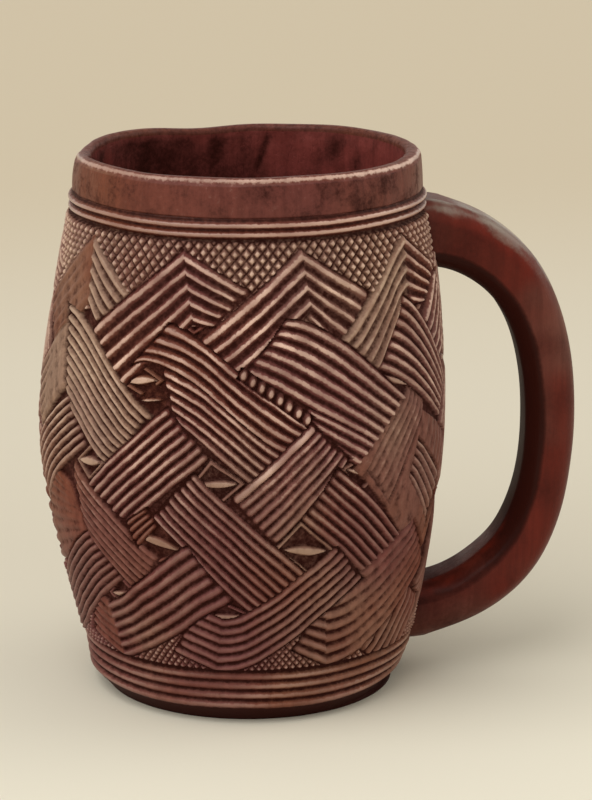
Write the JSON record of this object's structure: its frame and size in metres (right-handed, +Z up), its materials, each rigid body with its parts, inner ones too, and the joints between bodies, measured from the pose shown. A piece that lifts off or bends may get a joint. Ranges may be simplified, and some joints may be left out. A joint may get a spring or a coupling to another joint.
{
  "type": "cup",
  "caption": "Tall carved wooden drinking cup with a barrel body, plaited relief all round, a plain rim and foot ridges, and a loop handle down one side.",
  "frame": {"origin": "centre of the flat base, on the surface that the cup stands on", "axes": "+Z is up along the cup's axis, and +X points to the handle"},
  "size_m": [0.1499, 0.1126, 0.15],
  "materials": {
    "carved_wood": "hand carved hardwood, dark red-brown, with rubbed crests and dark grooves",
    "handle_wood": "smooth hardwood, red-brown, polished by handling"
  },
  "bodies": {
    "root": {"cup_body": "carved_wood", "handle": "handle_wood"}
  },
  "joints": []
}
